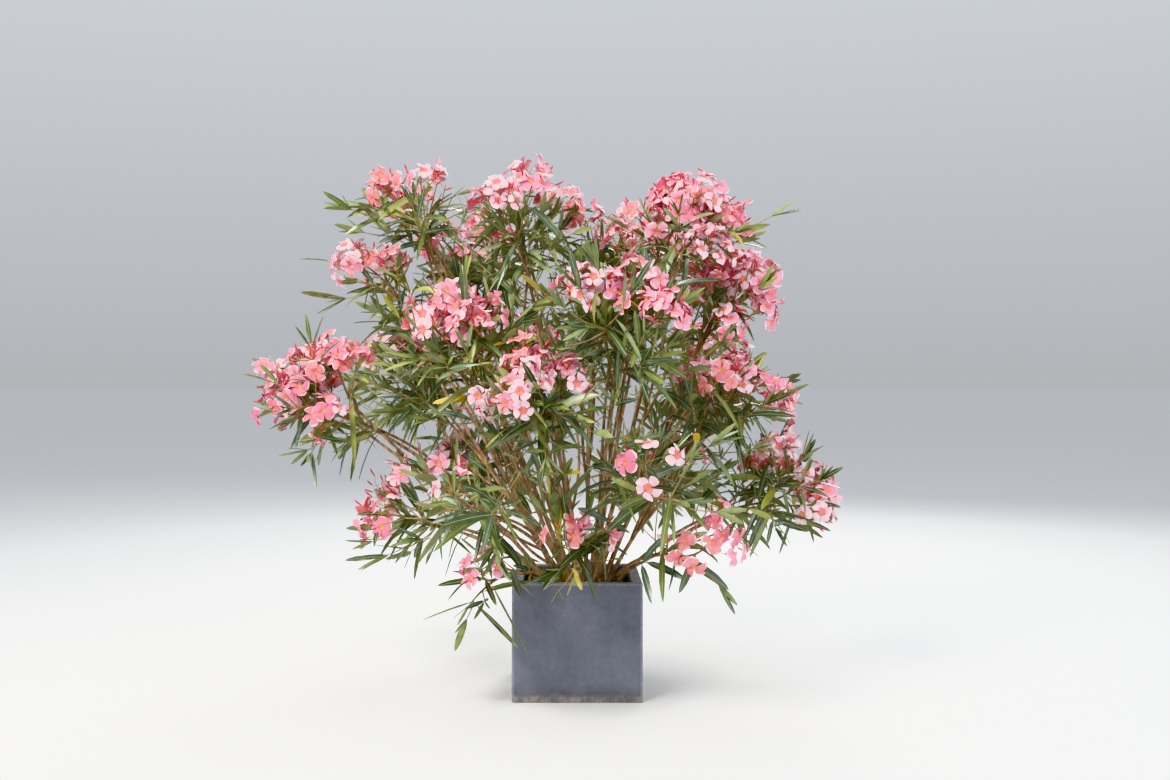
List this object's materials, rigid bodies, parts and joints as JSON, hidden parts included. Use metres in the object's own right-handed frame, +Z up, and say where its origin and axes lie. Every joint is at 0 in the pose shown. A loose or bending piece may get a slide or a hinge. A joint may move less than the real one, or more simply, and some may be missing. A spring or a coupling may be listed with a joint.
{
  "type": "potted oleander",
  "caption": "Flowering oleander shrub in a square fibre-cement pot: a clump of bare stems that carry leafy, pink-flowered masses of twigs on all sides.",
  "frame": {"origin": "centre of the pot's flat underside, on the ground", "axes": "+Z up; +X to the right and -Y towards the viewer who faces the pot's front wall"},
  "size_m": [1.9005, 1.7007, 1.8148],
  "materials": {
    "pot": "matt grey fibre cement, weathered along its foot",
    "soil": "dark moist potting soil",
    "stems": "smooth grey-brown bark",
    "foliage": "leathery green leaves and salmon-pink flowers"
  },
  "bodies": {
    "root": {"pot": "pot", "soil": "soil", "stem_top_left": "stems", "foliage_top_left": "foliage", "stem_top_middle": "stems", "foliage_top_middle": "foliage", "stem_top_right": "stems", "foliage_top_right": "foliage", "stem_right_shoulder": "stems", "foliage_right_shoulder": "foliage", "stem_left_shoulder": "stems", "foliage_left_shoulder": "foliage", "stem_centre_right": "stems", "foliage_centre_right": "foliage", "stem_centre_front": "stems", "foliage_centre_front": "foliage", "stem_centre_left": "stems", "foliage_centre_left": "foliage", "stem_far_left": "stems", "foliage_far_left": "foliage", "stem_right_side": "stems", "foliage_right_side": "foliage", "stem_right_low": "stems", "foliage_right_low": "foliage", "stem_front_low_left": "stems", "foliage_front_low_left": "foliage", "stem_front_low_right": "stems", "foliage_front_low_right": "foliage", "stem_left_low": "stems", "foliage_left_low": "foliage", "stem_right_droop": "stems", "foliage_right_droop": "foliage", "stem_pot_left": "stems", "foliage_pot_left": "foliage", "stem_front_base": "stems", "foliage_front_base": "foliage", "stem_back_top_left": "stems", "foliage_back_top_left": "foliage", "stem_back_top_right": "stems", "foliage_back_top_right": "foliage", "stem_back_left": "stems", "foliage_back_left": "foliage", "stem_back_middle": "stems", "foliage_back_middle": "foliage", "stem_back_right": "stems", "foliage_back_right": "foliage", "stem_back_low_left": "stems", "foliage_back_low_left": "foliage", "stem_back_low_right": "stems", "foliage_back_low_right": "foliage", "stem_top_centre": "stems", "foliage_top_centre": "foliage"}
  },
  "joints": []
}
